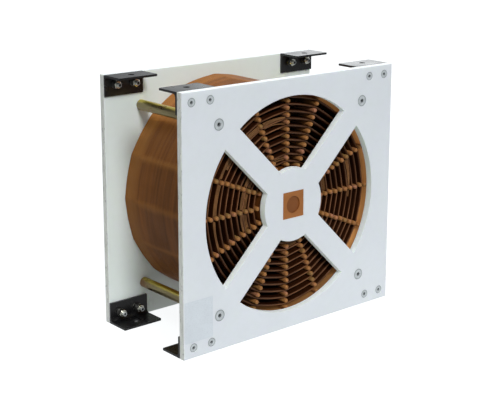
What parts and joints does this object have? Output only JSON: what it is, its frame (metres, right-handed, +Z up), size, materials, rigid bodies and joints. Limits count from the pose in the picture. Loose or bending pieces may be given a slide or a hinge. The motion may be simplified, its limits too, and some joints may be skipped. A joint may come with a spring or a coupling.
{
  "type": "air core reactor",
  "caption": "Layered air core coil with rod-spaced cooling ducts between white slotted insulating end plates with black angle brackets.",
  "frame": {"origin": "centre of the base: midway between the plates, on the plane of the lower flanges' undersides", "axes": "+Y from the front plate to the back plate along the coil axis, +X to the right as seen from the front, +Z up"},
  "size_m": [0.38, 0.185, 0.356],
  "materials": {
    "board": "smooth white glass-polyester board, satin",
    "outer_winding": "varnished brown winding with fine turn lines, satin",
    "winding": "varnished brown winding, satin",
    "rods": "tan varnished spacer rods, satin",
    "core": "varnished laminated board",
    "bar": "orange-brown varnished laminate, satin",
    "tube": "yellow zinc plated steel, glossy",
    "bracket": "black painted steel, satin",
    "fastener": "bright zinc plated steel"
  },
  "bodies": {
    "root": {"front_plate": "board", "back_plate": "board", "outer_coil": "outer_winding", "coil_layer_1": "winding", "coil_layer_2": "winding", "coil_layer_3": "winding", "coil_layer_4": "winding", "coil_layer_5": "winding", "coil_layer_6": "winding", "coil_layer_7": "winding", "coil_layer_8": "winding", "coil_layer_9": "winding", "coil_layer_10": "winding", "duct_rods_1": "rods", "duct_rods_2": "rods", "duct_rods_3": "rods", "duct_rods_4": "rods", "duct_rods_5": "rods", "duct_rods_6": "rods", "duct_rods_7": "rods", "duct_rods_8": "rods", "duct_rods_9": "rods", "duct_rods_10": "rods", "duct_rods_11": "rods", "winding_core": "core", "core_bar": "bar", "tie_tube_left_bottom": "tube", "tie_tube_right_bottom": "tube", "tie_tube_left_top": "tube", "tie_tube_right_top": "tube", "bracket_front_left_bottom": "bracket", "bracket_front_right_bottom": "bracket", "bracket_front_left_top": "bracket", "bracket_front_right_top": "bracket", "bracket_back_left_bottom": "bracket", "bracket_back_right_bottom": "bracket", "bracket_back_left_top": "bracket", "bracket_back_right_top": "bracket", "tie_screws": "fastener", "bracket_screws": "fastener", "bracket_washers": "fastener", "bracket_nuts": "fastener"}
  },
  "joints": []
}
